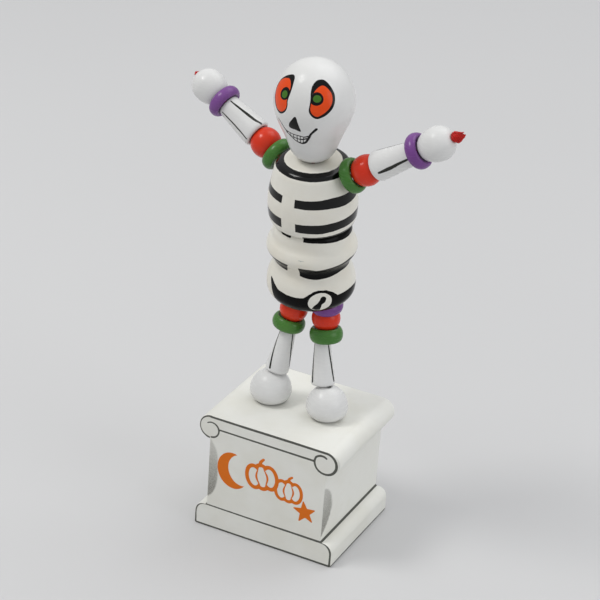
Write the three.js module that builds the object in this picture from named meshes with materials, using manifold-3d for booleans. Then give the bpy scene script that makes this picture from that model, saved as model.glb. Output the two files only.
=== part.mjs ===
// A push puppet: a jointed wooden skeleton that stands on a hollow pedestal, held upright by
// strings that a spring-loaded button keeps taut. Pressing the button lets the figure collapse.
// Units are millimetres, +Z is up, the figure faces -Y and the origin is at the middle of the
// pedestal's underside. "left" and "right" are the figure's own: its left side is +X.
import * as THREE from 'three';
import { mergeVertices } from 'three/addons/utils/BufferGeometryUtils.js';
import Module from 'manifold-3d';

const wasm = await Module();
wasm.setup();

// Driving dimensions
const GAP = 0.3;                  // clearance kept between pieces that rest on each other
const BASE_WIDTH = 38.1;
const BASE_DEPTH = 31.75;
const BASE_HEIGHT = 31.75;
const SHAFT_WIDTH = 31.7;         // the pedestal between its plinth and its scrolls
const PLINTH_HEIGHT = 6.25;
const PLINTH_ROUND = 2.4;
const SCROLL_RADIUS = 3.2;
const BORE_RADIUS = 12;
const BORE_DEPTH = 24;

const STRING_RADIUS = 0.45;
const STRING_BORE = 1.0;          // radius of the holes that the strings run in
const STRING_SPREAD = 1.3;        // how far each side's string runs from the body's middle

const BUTTON_RECESS = 0.8;
const BUTTON_FACE_RADIUS = 10.2;
const BUTTON_FLANGE_RADIUS = 11.4;
const BUTTON_FACE_HEIGHT = 3;
const BUTTON_HEIGHT = 6;
const BUTTON_BOSS_RADIUS = 3.3;
const BUTTON_BOSS_HEIGHT = 2;
const PEG_RADIUS = 1.3;
const PEG_HEIGHT = 2.2;

const SPRING_RADIUS = 4.3;        // to the middle of the wire
const SPRING_WIRE = 0.45;
const SPRING_TURNS = 6;

const FOOT_SPREAD = 7.76;         // each foot's distance from the middle
const FOOT_Y = -0.53;
const FOOT_RADIUS = 5.2;
const FOOT_FLAT = 3.7;            // radius of the flat underside
const FOOT_WAIST = 2.5;           // height of the widest circle
const FOOT_DOME = 5.6;            // from the widest circle to the top of the dome

const SHIN_TOP_RADIUS = 1.8;
const SHIN_BOTTOM_RADIUS = 2.9;

const RING_THICKNESS = 3;
const LEG_RING_RADIUS = 4.1;
const ARM_RING_RADIUS = 4.3;
const RING_BORE = 1.3;
const BALL_BORE = 1.5;            // wider, as the string bends inside the ball
const RING_SEAT = 0.85;           // from a ring's middle to the shin end that it sits on
const LEG_BALL_RADIUS = 3.5;
const ARM_BALL_RADIUS = 3.75;
const LEG_RING_STEP = 3.75;       // from a ball's centre to the ring beside it
const ARM_RING_STEP = 4.0;

const HIP_SPREAD = 4.25;          // each leg hole's distance from the middle of the hips
const HIPS_AT = [0, 2.0, 62.2];   // middle of the hips' underside
const HIPS_LEAN = 6;              // degrees forward
const HIPS_HEIGHT = 20.5;
const HIPS_TOP_RADIUS = 9.3;
const CHEST_LEAN = 7.3;
const CHEST_TURN = -8;
const CHEST_HEIGHT = 16.5;
const COLLAR_RADIUS = 6.8;
const BODY_BORE = 2.3;            // the hole along the middle of the hips and chest
const ARM_HOLES_MEET = [0, 0, 10.4];
const HEAD_AT = [0, -0.15, 16.8]; // on the chest's axis, just over its collar
const HEAD_LEAN = -1.3;           // relative to the chest
const HEAD_HEIGHT = 25;
const HEAD_BORE = 1.5;
const HEAD_BORE_DEPTH = 19;

const ARM_LENGTH = 10.7;
const ARM_INNER_RADIUS = 3.6;
const ARM_WRIST_RADIUS = 2.75;
const ARM_MOUTH_RADIUS = 2.95;    // the dished inner end's opening
const HAND_STEP = 5.6;            // from the wrist ring to the hand's widest circle
const WRIST_SEAT = 1.03;          // how far the wrist sits back from the middle of its ring
const HAND_RADIUS = 4.1;
const HAND_INNER_LENGTH = 5.4;    // from the hand's widest circle to the wrist ring's side

// What differs between the two sides. The beads sit a little off the legs' lines, as loose
// beads do: kneeShift and shinShift are sideways offsets, and tuft is the frayed end's length.
const SIDES = {
  left: {
    side: 1, shoulder: [10.8, 0.55, 15.35], raised: 32.9, swept: 11.4, tuft: 3.6,
    kneeShift: 0, shinShift: -1.0,
  },
  right: {
    side: -1, shoulder: [-11.8, 2.1, 12.7], raised: 25, swept: 6.3, tuft: 1.2,
    kneeShift: -0.5, shinShift: 0,
  },
};

const ROUND_SIDES = 30;
const BEAD_SIDES = 18;

const WOOD_WHITE = '#f1efe6';
const GLOSS_WHITE = '#f2f2f2';
const RED = '#d23c22';
const GREEN = '#37803a';
const PURPLE = '#743fa0';
const STRING_RED = '#c8202a';

const radians = THREE.MathUtils.degToRad;
const deg = THREE.MathUtils.radToDeg;

function paint(color, roughness = 0.3, metalness = 0) {
  return new THREE.MeshStandardMaterial({ color, roughness, metalness });
}

function piece(name, geometry, material, parent) {
  const mesh = new THREE.Mesh(geometry, material);
  mesh.name = name;
  parent.add(mesh);
  return mesh;
}

// Points on an arc in the (radius, height) plane, from one angle to another, in degrees.
function arc(r, z, radiusR, radiusZ, from, to, count) {
  const points = [];
  for (let i = 0; i <= count; i++) {
    const angle = radians(from + ((to - from) * i) / count);
    points.push([r + radiusR * Math.cos(angle), z + radiusZ * Math.sin(angle)]);
  }
  return points;
}

// A solid of revolution about Z. The outline goes anticlockwise as seen in the (radius, height)
// plane: up the outside and down the inside or the axis.
function turned(outline, sides = BEAD_SIDES) {
  const points = outline.map(([r, z]) => new THREE.Vector2(r, z));
  const closesOnItself = outline[0][0] > 0 || outline[outline.length - 1][0] > 0;
  if (closesOnItself) {
    points.push(points[0].clone());
  }
  return new THREE.LatheGeometry(points, sides).rotateX(Math.PI / 2);
}

// A turned solid with a hole of the given radius right through it.
function turnedRing(outside, bore, sides = BEAD_SIDES) {
  const bottom = outside[0][1];
  const top = outside[outside.length - 1][1];
  return turned([...outside, [bore, top], [bore, bottom]], sides);
}

function toManifold(geometry) {
  const bare = geometry.clone();
  bare.deleteAttribute('normal');
  bare.deleteAttribute('uv');
  const merged = mergeVertices(bare, 1e-5);
  return new wasm.Manifold(new wasm.Mesh({
    numProp: 3,
    vertProperties: new Float32Array(merged.attributes.position.array),
    triVerts: new Uint32Array(merged.index.array),
  }));
}

function toGeometry(manifold) {
  const mesh = manifold.getMesh();
  const geometry = new THREE.BufferGeometry();
  geometry.setAttribute('position', new THREE.BufferAttribute(mesh.vertProperties, 3));
  geometry.setIndex(new THREE.BufferAttribute(mesh.triVerts, 1));
  geometry.computeVertexNormals();
  return geometry;
}

function drilled(geometry, drills) {
  let solid = toManifold(geometry);
  for (const drill of drills) {
    solid = solid.subtract(toManifold(drill));
  }
  return toGeometry(solid);
}

// A drill bit: a cylinder from one point to another.
function drill(from, to, radius, sides = 16) {
  const start = new THREE.Vector3(...from);
  const end = new THREE.Vector3(...to);
  const along = end.clone().sub(start);
  const bit = new THREE.CylinderGeometry(radius, radius, along.length(), sides);
  const turn = new THREE.Quaternion().setFromUnitVectors(
    new THREE.Vector3(0, 1, 0), along.clone().normalize());
  bit.applyQuaternion(turn);
  const middle = start.add(end).multiplyScalar(0.5);
  return bit.translate(middle.x, middle.y, middle.z);
}

// A route of straight runs between waypoints, stepped waypoint by waypoint.
class StringRoute extends THREE.Curve {
  constructor(waypoints) {
    super();
    this.waypoints = waypoints;
  }

  getPoint(t, target = new THREE.Vector3()) {
    const index = Math.round(t * (this.waypoints.length - 1));
    return target.copy(this.waypoints[index]);
  }

  getPointAt(t, target) {
    return this.getPoint(t, target);
  }

  getTangentAt(t, target = new THREE.Vector3()) {
    const last = this.waypoints.length - 1;
    const index = Math.round(t * last);
    const here = this.waypoints[index];
    const before = this.waypoints[Math.max(index - 1, 0)];
    const after = this.waypoints[Math.min(index + 1, last)];
    const arriving = here.clone().sub(before).normalize();
    const leaving = after.clone().sub(here).normalize();
    return target.copy(arriving.add(leaving)).normalize();
  }
}

class Helix extends THREE.Curve {
  constructor(radius, turns, bottom, top) {
    super();
    Object.assign(this, { radius, turns, bottom, top });
  }

  getPoint(t, target = new THREE.Vector3()) {
    const angle = 2 * Math.PI * this.turns * t;
    const z = THREE.MathUtils.lerp(this.bottom, this.top, t);
    return target.set(this.radius * Math.cos(angle), this.radius * Math.sin(angle), z);
  }
}

function circleShape(radius, sides) {
  const shape = new THREE.Shape();
  for (let i = 0; i < sides; i++) {
    const angle = (2 * Math.PI * i) / sides;
    const method = i === 0 ? 'moveTo' : 'lineTo';
    shape[method](radius * Math.cos(angle), radius * Math.sin(angle));
  }
  shape.closePath();
  return shape;
}

function tube(path, radius, steps, sides) {
  return new THREE.ExtrudeGeometry(circleShape(radius, sides), {
    steps, extrudePath: path, bevelEnabled: false,
  });
}

// The pedestal's outline seen from the front: plinth, shaft and a scroll at each top corner.
function pedestalShape() {
  const halfWidth = BASE_WIDTH / 2;
  const shaft = SHAFT_WIDTH / 2;
  const scrollX = halfWidth - SCROLL_RADIUS;
  const scrollZ = BASE_HEIGHT - SCROLL_RADIUS;
  const shape = new THREE.Shape();
  shape.moveTo(-halfWidth, 0);
  shape.lineTo(halfWidth, 0);
  shape.lineTo(halfWidth, PLINTH_HEIGHT - PLINTH_ROUND);
  shape.absarc(halfWidth - PLINTH_ROUND, PLINTH_HEIGHT - PLINTH_ROUND, PLINTH_ROUND, 0,
    Math.PI / 2, false);
  shape.lineTo(shaft, PLINTH_HEIGHT);
  shape.lineTo(shaft, scrollZ - SCROLL_RADIUS);
  shape.absarc(scrollX, scrollZ, SCROLL_RADIUS, -Math.PI / 2, Math.PI / 2, false);
  shape.absarc(-scrollX, scrollZ, SCROLL_RADIUS, Math.PI / 2, 1.5 * Math.PI, false);
  shape.lineTo(-shaft, PLINTH_HEIGHT);
  shape.absarc(PLINTH_ROUND - halfWidth, PLINTH_HEIGHT - PLINTH_ROUND, PLINTH_ROUND,
    Math.PI / 2, Math.PI, false);
  shape.closePath();
  return shape;
}

function buildPedestal(parent) {
  const block = new THREE.ExtrudeGeometry(pedestalShape(), {
    depth: BASE_DEPTH, bevelEnabled: false, curveSegments: 8,
  });
  block.rotateX(Math.PI / 2);
  block.translate(0, BASE_DEPTH / 2, 0);
  const drills = [drill([0, 0, -1], [0, 0, BORE_DEPTH], BORE_RADIUS, 40)];
  for (const side of [-1, 1]) {
    const x = side * FOOT_SPREAD;
    drills.push(drill([x, FOOT_Y, BORE_DEPTH - 1], [x, FOOT_Y, BASE_HEIGHT + 1], STRING_BORE));
  }
  piece('base_block', drilled(block, drills), paint(WOOD_WHITE, 0.6), parent);
}

// The thumb button, the pegs that hold the strings under it, and its spring.
function buildButton(parent) {
  const faceZ = BUTTON_RECESS;
  const flangeZ = faceZ + BUTTON_FACE_HEIGHT;
  const topZ = faceZ + BUTTON_HEIGHT;
  const outline = [
    [0, faceZ], [BUTTON_FACE_RADIUS, faceZ], [BUTTON_FACE_RADIUS, flangeZ],
    [BUTTON_FLANGE_RADIUS, flangeZ], [BUTTON_FLANGE_RADIUS, topZ],
    [BUTTON_BOSS_RADIUS, topZ], [BUTTON_BOSS_RADIUS - 0.3, topZ + BUTTON_BOSS_HEIGHT],
    [0, topZ + BUTTON_BOSS_HEIGHT],
  ];
  const drills = [];
  for (const side of [-1, 1]) {
    const x = side * FOOT_SPREAD;
    const pegTop = faceZ + PEG_HEIGHT + GAP;
    drills.push(drill([x, FOOT_Y, faceZ - 1], [x, FOOT_Y, pegTop], PEG_RADIUS + GAP));
    drills.push(drill([x, FOOT_Y, faceZ], [x, FOOT_Y, topZ + 1], STRING_BORE));
  }
  piece('button', drilled(turned(outline, ROUND_SIDES), drills), paint('#c9a87a', 0.6), parent);
  for (const [name, { side }] of Object.entries(SIDES)) {
    const peg = turned([
      [0, 0], [PEG_RADIUS - 0.2, 0], [PEG_RADIUS, 0.3], [PEG_RADIUS - 0.2, PEG_HEIGHT],
      [0, PEG_HEIGHT],
    ], 14);
    piece(`${name}_string_peg`, peg, paint('#b98f5c', 0.6), parent)
      .position.set(side * FOOT_SPREAD, FOOT_Y, faceZ);
  }
  const springPath = new Helix(SPRING_RADIUS, SPRING_TURNS, topZ + GAP + SPRING_WIRE,
    BORE_DEPTH - GAP - SPRING_WIRE);
  piece('button_spring', tube(springPath, SPRING_WIRE, SPRING_TURNS * 10, 6),
    paint('#b9bcc0', 0.3, 1), parent);
}

// A foot's hole runs straight up to its widest circle and from there towards the shin.
function footGeometry(toShin) {
  const flatAngle = Math.acos(FOOT_FLAT / FOOT_RADIUS);
  const outline = [
    [0, 0],
    ...arc(0, FOOT_WAIST, FOOT_RADIUS, FOOT_WAIST / Math.sin(flatAngle), -deg(flatAngle), 0, 4),
    ...arc(0, FOOT_WAIST, FOOT_RADIUS, FOOT_DOME, 12, 84, 6),
    [0, FOOT_WAIST + FOOT_DOME],
  ];
  const waist = new THREE.Vector3(0, 0, FOOT_WAIST);
  const below = waist.clone().lerp(toShin, -0.1);
  const beyond = waist.clone().lerp(toShin, 1.3);
  return drilled(turned(outline, BEAD_SIDES), [
    drill([0, 0, -1], [0, 0, FOOT_WAIST + STRING_BORE / 2], STRING_BORE),
    drill(below.toArray(), beyond.toArray(), STRING_BORE),
  ]);
}

function shinGeometry(length) {
  return turnedRing([
    [SHIN_BOTTOM_RADIUS - 0.6, 0], [SHIN_BOTTOM_RADIUS - 0.1, 0.25], [SHIN_BOTTOM_RADIUS, 0.9],
    [(SHIN_BOTTOM_RADIUS + SHIN_TOP_RADIUS) / 2, length * 0.55],
    [SHIN_TOP_RADIUS, length - 0.3], [SHIN_TOP_RADIUS - 0.25, length],
  ], STRING_BORE, 20);
}

// A ring bead: both faces are dished to seat a ball whose centre is one step away.
function ringGeometry(radius, ballRadius, step) {
  const half = RING_THICKNESS / 2;
  const dish = ballRadius + GAP;
  const crest = Math.sqrt(dish ** 2 - (step - half) ** 2);
  const outerRound = radius - crest;
  const dishFrom = deg(Math.acos(crest / dish));
  const dishTo = deg(Math.acos(RING_BORE / dish));
  return turned([
    ...arc(0, -step, dish, dish, dishTo, dishFrom, 2),
    ...arc(crest, 0, outerRound, half, -66, 66, 5),
    ...arc(0, step, dish, dish, -dishFrom, -dishTo, 2),
  ]);
}

function ballGeometry(radius) {
  const mouth = deg(Math.acos(BALL_BORE / radius));
  return turned(arc(0, 0, radius, radius, -mouth, mouth, 8));
}

// One leg, from the foot up to the ring under the hips. Returns its string's route.
function buildLeg(name, parent, hips) {
  const { side, kneeShift, shinShift } = SIDES[name];
  const up = new THREE.Vector3(0, 0, 1).applyQuaternion(hips.quaternion);
  const footBase = new THREE.Vector3(side * FOOT_SPREAD, FOOT_Y, BASE_HEIGHT + GAP);
  const ankle = footBase.clone().add(new THREE.Vector3(0, 0, FOOT_WAIST));
  const hipRingAt = new THREE.Vector3(side * HIP_SPREAD, ...HIPS_AT.slice(1))
    .addScaledVector(up, -(GAP + RING_THICKNESS / 2));
  const ballAt = hipRingAt.clone().addScaledVector(up, -LEG_RING_STEP);

  // The leg's line runs from the ankle to the ball at the knee.
  const along = ballAt.clone().sub(ankle);
  const reach = along.length();
  along.normalize();
  const lean = new THREE.Quaternion().setFromUnitVectors(new THREE.Vector3(0, 0, 1), along);
  const pointAt = (distance, shift) =>
    ankle.clone().addScaledVector(along, distance).add(new THREE.Vector3(shift, 0, 0));
  const shinFrom = FOOT_DOME + GAP;
  const shinTo = reach - LEG_RING_STEP - RING_SEAT - GAP;
  const shinBottom = pointAt(shinFrom, shinShift);
  const shinTop = pointAt(shinTo, shinShift);
  const kneeRingAt = pointAt(reach - LEG_RING_STEP, kneeShift);
  const kneeBallAt = pointAt(reach, kneeShift / 2);

  const place = (part, geometry, color, position, quaternion) => {
    const mesh = piece(`${name}_${part}`, geometry, paint(color), parent);
    mesh.position.copy(position);
    mesh.quaternion.copy(quaternion);
  };
  const ring = ringGeometry(LEG_RING_RADIUS, LEG_BALL_RADIUS, LEG_RING_STEP);
  const toShin = shinBottom.clone().sub(footBase);
  place('foot', footGeometry(toShin), GLOSS_WHITE, footBase, new THREE.Quaternion());
  place('shin', shinGeometry(shinTo - shinFrom), GLOSS_WHITE, shinBottom, lean);
  place('knee_ring', ring, GREEN, kneeRingAt, lean);
  place('knee_ball', ballGeometry(LEG_BALL_RADIUS), RED, kneeBallAt, lean);
  place('hip_ring', ring.clone(), PURPLE, hipRingAt, hips.quaternion);

  const stringEnd = new THREE.Vector3(
    side * FOOT_SPREAD, FOOT_Y, BUTTON_RECESS + PEG_HEIGHT + 2 * GAP);
  return [stringEnd, ankle, shinBottom, shinTop, kneeRingAt, kneeBallAt, hipRingAt];
}

function buildHips(parent) {
  const hips = new THREE.Group();
  hips.position.set(...HIPS_AT);
  hips.rotation.set(radians(HIPS_LEAN), 0, 0);
  parent.add(hips);
  const outline = [
    [0, 0], [6.9, 0],
    ...arc(7.2, 3.6, 3.5, 3.6, -75, 0, 5),
    [10.7, 5.2], [10.45, 7], [9.8, 8.4], [9.2, 9.4], [9.1, 10.6], [9.5, 11.7],
    ...arc(8.9, 14.3, 2.0, 2.3, -35, 62, 6),
    [9.55, 18.2], [HIPS_TOP_RADIUS, 19.9], [HIPS_TOP_RADIUS - 0.5, HIPS_HEIGHT],
    [0, HIPS_HEIGHT],
  ];
  const drills = [drill([0, 0, 3.5], [0, 0, HIPS_HEIGHT + 1], BODY_BORE, 20)];
  for (const side of [-1, 1]) {
    drills.push(drill([side * (HIP_SPREAD + 0.5), 0, -1], [side * 1.25, 0, 5.5], STRING_BORE));
  }
  piece('hips', drilled(turned(outline, ROUND_SIDES), drills), paint(WOOD_WHITE), hips);
  return hips;
}

function buildChest(parent, hips) {
  const chest = new THREE.Group();
  const seat = new THREE.Vector3(0, 0, HIPS_HEIGHT + GAP).applyQuaternion(hips.quaternion);
  chest.position.copy(hips.position).add(seat);
  chest.rotation.set(radians(CHEST_LEAN), 0, radians(CHEST_TURN));
  parent.add(chest);
  const outline = [
    [0, 0], [8.7, 0], [9.6, 0.35], [10.2, 1.1], [10.55, 2.6], [10.7, 5], [10.55, 7.6],
    [10.15, 9.8], [9.65, 11.9],
    ...arc(6.9, 13.2, 2.45, 3.1, 2, 78, 5),
    [COLLAR_RADIUS, CHEST_HEIGHT], [0, CHEST_HEIGHT],
  ];
  const drills = [drill([0, 0, -1], [0, 0, CHEST_HEIGHT + 1], BODY_BORE, 20)];
  for (const { shoulder } of Object.values(SIDES)) {
    drills.push(drill(ARM_HOLES_MEET, shoulder, STRING_BORE));
  }
  piece('chest', drilled(turned(outline, ROUND_SIDES), drills), paint(WOOD_WHITE), chest);
  return chest;
}

function buildHead(chest) {
  const head = new THREE.Group();
  head.position.set(...HEAD_AT);
  head.rotation.set(radians(HEAD_LEAN), 0, 0);
  chest.add(head);
  const outline = [
    [0, 0], [1.9, 0], [3.4, 0.35], [4.7, 1.15], [5.5, 2.3], [5.95, 3.7], [6.35, 5.2], [7.1, 7.2],
    [8.1, 9.4], [9.05, 12],
    ...arc(0, 14.7, 9.5, HEAD_HEIGHT - 14.7, 0, 80, 8),
    [0, HEAD_HEIGHT],
  ];
  const drills = [drill([0, 0, -1], [0, 0, HEAD_BORE_DEPTH], HEAD_BORE)];
  piece('head', drilled(turned(outline, ROUND_SIDES), drills), paint(GLOSS_WHITE, 0.25), head);
  const knot = turned([[0, -1.5], ...arc(0, 0, HEAD_BORE - GAP, 1.5, -60, 60, 4), [0, 1.5]], 12);
  piece('head_knot', knot, paint(STRING_RED, 0.9), head).position.z = HEAD_BORE_DEPTH - 2;
  return head;
}

function armGeometry() {
  const dish = ARM_BALL_RADIUS + GAP;
  const rim = Math.sqrt(dish ** 2 - ARM_MOUTH_RADIUS ** 2);
  const dishFrom = deg(Math.acos(STRING_BORE / dish));
  const dishTo = deg(Math.acos(ARM_MOUTH_RADIUS / dish));
  return turned([
    ...arc(0, -rim, dish, dish, dishFrom, dishTo, 4),
    [ARM_INNER_RADIUS - 0.15, 0.35], [ARM_INNER_RADIUS, 1.2],
    [(ARM_INNER_RADIUS + ARM_WRIST_RADIUS) / 2 + 0.1, ARM_LENGTH * 0.6],
    [ARM_WRIST_RADIUS, ARM_LENGTH - 0.3], [ARM_WRIST_RADIUS - 0.3, ARM_LENGTH],
    [STRING_BORE, ARM_LENGTH],
  ]);
}

// A hand is a ball drawn out at its inner end, which sits in the wrist ring.
function handGeometry() {
  const inner = deg(Math.acos(STRING_BORE / HAND_RADIUS));
  return turned([
    ...arc(0, 0, HAND_RADIUS, HAND_INNER_LENGTH, -inner, 0, 4),
    ...arc(0, 0, HAND_RADIUS, HAND_RADIUS, inner / 4, inner, 4),
  ]);
}

function tuftGeometry(length) {
  return turned([
    [0, 0], [0.8, 0], [1.15, length * 0.2], [1.3, length * 0.4], [0.9, length * 0.7],
    [0.35, length], [0, length],
  ], 12);
}

// One arm, from the ring at the shoulder to the string's frayed end. Returns its string route.
function buildArm(name, chest) {
  const { side, shoulder, raised, swept, tuft } = SIDES[name];
  const arm = new THREE.Group();
  arm.position.set(...shoulder);
  const outward = new THREE.Vector3(
    side * Math.cos(radians(raised)) * Math.cos(radians(swept)),
    Math.cos(radians(raised)) * Math.sin(radians(swept)),
    Math.sin(radians(raised)));
  arm.quaternion.setFromUnitVectors(new THREE.Vector3(0, 0, 1), outward);
  chest.add(arm);

  const ring = ringGeometry(ARM_RING_RADIUS, ARM_BALL_RADIUS, ARM_RING_STEP);
  const ballAt = ARM_RING_STEP;
  const armAt = ballAt + Math.sqrt((ARM_BALL_RADIUS + GAP) ** 2 - ARM_MOUTH_RADIUS ** 2);
  const wristAt = armAt + ARM_LENGTH + WRIST_SEAT + GAP;
  const handAt = wristAt + HAND_STEP;
  piece(`${name}_shoulder_ring`, ring, paint(GREEN), arm);
  piece(`${name}_shoulder_ball`, ballGeometry(ARM_BALL_RADIUS), paint(RED), arm).position.z = ballAt;
  piece(`${name}_arm`, armGeometry(), paint(GLOSS_WHITE), arm).position.z = armAt;
  piece(`${name}_wrist_ring`, ring.clone(), paint(PURPLE), arm).position.z = wristAt;
  piece(`${name}_hand`, handGeometry(), paint(GLOSS_WHITE), arm).position.z = handAt;
  const tuftAt = handAt + HAND_RADIUS;
  piece(`${name}_string_tuft`, tuftGeometry(tuft), paint(STRING_RED, 0.9), arm).position.z = tuftAt;

  arm.updateWorldMatrix(true, false);
  return [0, ballAt, armAt, wristAt, handAt, tuftAt - GAP].map(
    (z) => arm.localToWorld(new THREE.Vector3(0, 0, z)));
}

function worldPoints(group, points) {
  group.updateWorldMatrix(true, false);
  return points.map((point) => group.localToWorld(new THREE.Vector3(...point)));
}

function buildString(name, waypoints, parent) {
  const route = new StringRoute(waypoints);
  const geometry = tube(route, STRING_RADIUS, waypoints.length - 1, 8);
  piece(name, geometry, paint(STRING_RED, 0.9), parent);
}

function buildPuppet() {
  const puppet = new THREE.Group();
  buildPedestal(puppet);
  buildButton(puppet);
  const hips = buildHips(puppet);
  const chest = buildChest(puppet, hips);
  const head = buildHead(chest);
  for (const [name, { side, shoulder }] of Object.entries(SIDES)) {
    const inHips = [[HIP_SPREAD, 0.2], [STRING_SPREAD, 6], [STRING_SPREAD, HIPS_HEIGHT]];
    const armHoleMouth = new THREE.Vector3(...ARM_HOLES_MEET)
      .lerp(new THREE.Vector3(...shoulder), 0.17);
    const inChest = [[side * STRING_SPREAD, 0, 9.6], armHoleMouth.toArray()];
    buildString(`${name}_string`, [
      ...buildLeg(name, puppet, hips),
      ...worldPoints(hips, inHips.map(([x, z]) => [side * x, 0, z])),
      ...worldPoints(chest, inChest),
      ...buildArm(name, chest),
    ], puppet);
  }
  buildString('head_string', [
    ...worldPoints(hips, [[0, 0, 4.5], [0, 0, HIPS_HEIGHT]]),
    ...worldPoints(chest, [[0, 0, CHEST_HEIGHT]]),
    ...worldPoints(head, [[0, 0, 1], [0, 0, HEAD_BORE_DEPTH - 3.5 - GAP]]),
  ], puppet);
  return puppet;
}

export default buildPuppet();
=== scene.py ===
"""Looks of the painted wooden skeleton push puppet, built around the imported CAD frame.

Lengths are millimetres until a mesh is made, and the lights are placed in metres. "left" and
"right" are the figure's own: its left side is +X, and it faces -Y.
"""
from math import acos, asin, cos, degrees, pi, radians, sin, sqrt

import bmesh
import bpy
import numpy as np
from mathutils import Matrix, Quaternion, Vector


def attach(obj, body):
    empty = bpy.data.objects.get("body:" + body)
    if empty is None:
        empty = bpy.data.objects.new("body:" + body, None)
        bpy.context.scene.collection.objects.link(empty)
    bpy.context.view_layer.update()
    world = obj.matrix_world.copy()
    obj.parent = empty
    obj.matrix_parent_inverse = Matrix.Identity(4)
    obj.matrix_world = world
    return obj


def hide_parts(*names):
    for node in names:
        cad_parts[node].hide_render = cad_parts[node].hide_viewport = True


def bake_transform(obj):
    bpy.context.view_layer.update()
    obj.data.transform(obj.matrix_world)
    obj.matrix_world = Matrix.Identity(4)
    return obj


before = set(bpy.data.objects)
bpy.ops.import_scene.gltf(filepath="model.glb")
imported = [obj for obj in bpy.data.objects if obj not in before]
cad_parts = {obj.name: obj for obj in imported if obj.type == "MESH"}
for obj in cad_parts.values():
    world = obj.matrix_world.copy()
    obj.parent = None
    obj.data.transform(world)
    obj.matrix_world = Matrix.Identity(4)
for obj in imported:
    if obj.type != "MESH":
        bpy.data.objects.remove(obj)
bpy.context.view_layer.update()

MM = 0.001
FAR = 9.0    # a distance in millimetres beyond any paint's edge
SIDEWAYS, UP = Vector((1, 0, 0)), Vector((0, 0, 1))
scene = bpy.context.scene

# --- sizes and places of the CAD's pieces
GAP = 0.3    # between neighbouring beads
BASE_HALF_WIDTH, BASE_HALF_DEPTH, BASE_HEIGHT = 19.05, 15.875, 31.75
SHAFT_HALF = 15.85
PLINTH_HEIGHT, PLINTH_ROUND = 6.25, 2.4
SCROLL_RADIUS = 3.2
BORE_RADIUS, BORE_DEPTH = 12.0, 24.0
FOOT_X, FOOT_Y, FOOT_WAIST, FOOT_DOME = 7.76, -0.53, 2.5, 5.6
HIPS_AT, HIPS_LEAN, HIPS_HEIGHT = Vector((0, 2.0, 62.2)), 6.0, 20.5
CHEST_LEAN, CHEST_TURN, CHEST_HEIGHT = 7.3, -8.0, 16.5
HEAD_AT, HEAD_LEAN = Vector((0, -0.15, 16.8)), -1.3
HIP_X = 4.25
RING_HALF, RING_SEAT, LEG_STEP, ARM_STEP = 1.5, 0.85, 3.75, 4.0
LEG_BALL, LEG_RING, ARM_RING = 3.5, 4.1, 4.3
KNEE_FLAT, KNEE_BORE = 2.05, 1.65    # room for the string in a bent knee
ARM_BALL, ARM_MOUTH, ARM_LENGTH = 3.75, 2.95, 10.7
WRIST_STEP, HAND_STEP, HAND_RADIUS = 1.03, 5.6, 4.1
FOOT_RADIUS, FOOT_FLAT, FOOT_BORE = 5.2, 3.7, 0.75
LIMB_BORE, RING_BORE, BALL_BORE, HEAD_BORE, TRUNK_BORE = 1.0, 1.3, 1.5, 1.5, 2.3
PEG_Z, SPRING_TOP, STRING_RADIUS = 3.6, 23.5, 0.43
SIDES = {
    "left": dict(side=1, shoulder=(10.8, 0.55, 15.35), raised=32.9, swept=11.4,
                 knee_shift=0.0, shin_shift=-1.0, thicker_ring=0.7, tuft=3.1, tuft_size=1.0, droop=0.07),
    "right": dict(side=-1, shoulder=(-11.8, 2.1, 12.7), raised=25.0, swept=6.3,
                  knee_shift=-0.5, shin_shift=0.0, thicker_ring=0.3, tuft=0.7, tuft_size=0.5, droop=0.0),
}


def turned(axis, angle):
    """A turn about an axis by an angle in degrees."""
    return Quaternion(axis, radians(angle))


def placed(at, turn=Quaternion()):
    """A matrix in millimetres from a point and a turn."""
    return Matrix.Translation(Vector(at)) @ turn.to_matrix().to_4x4()


PLACES = {}


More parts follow.
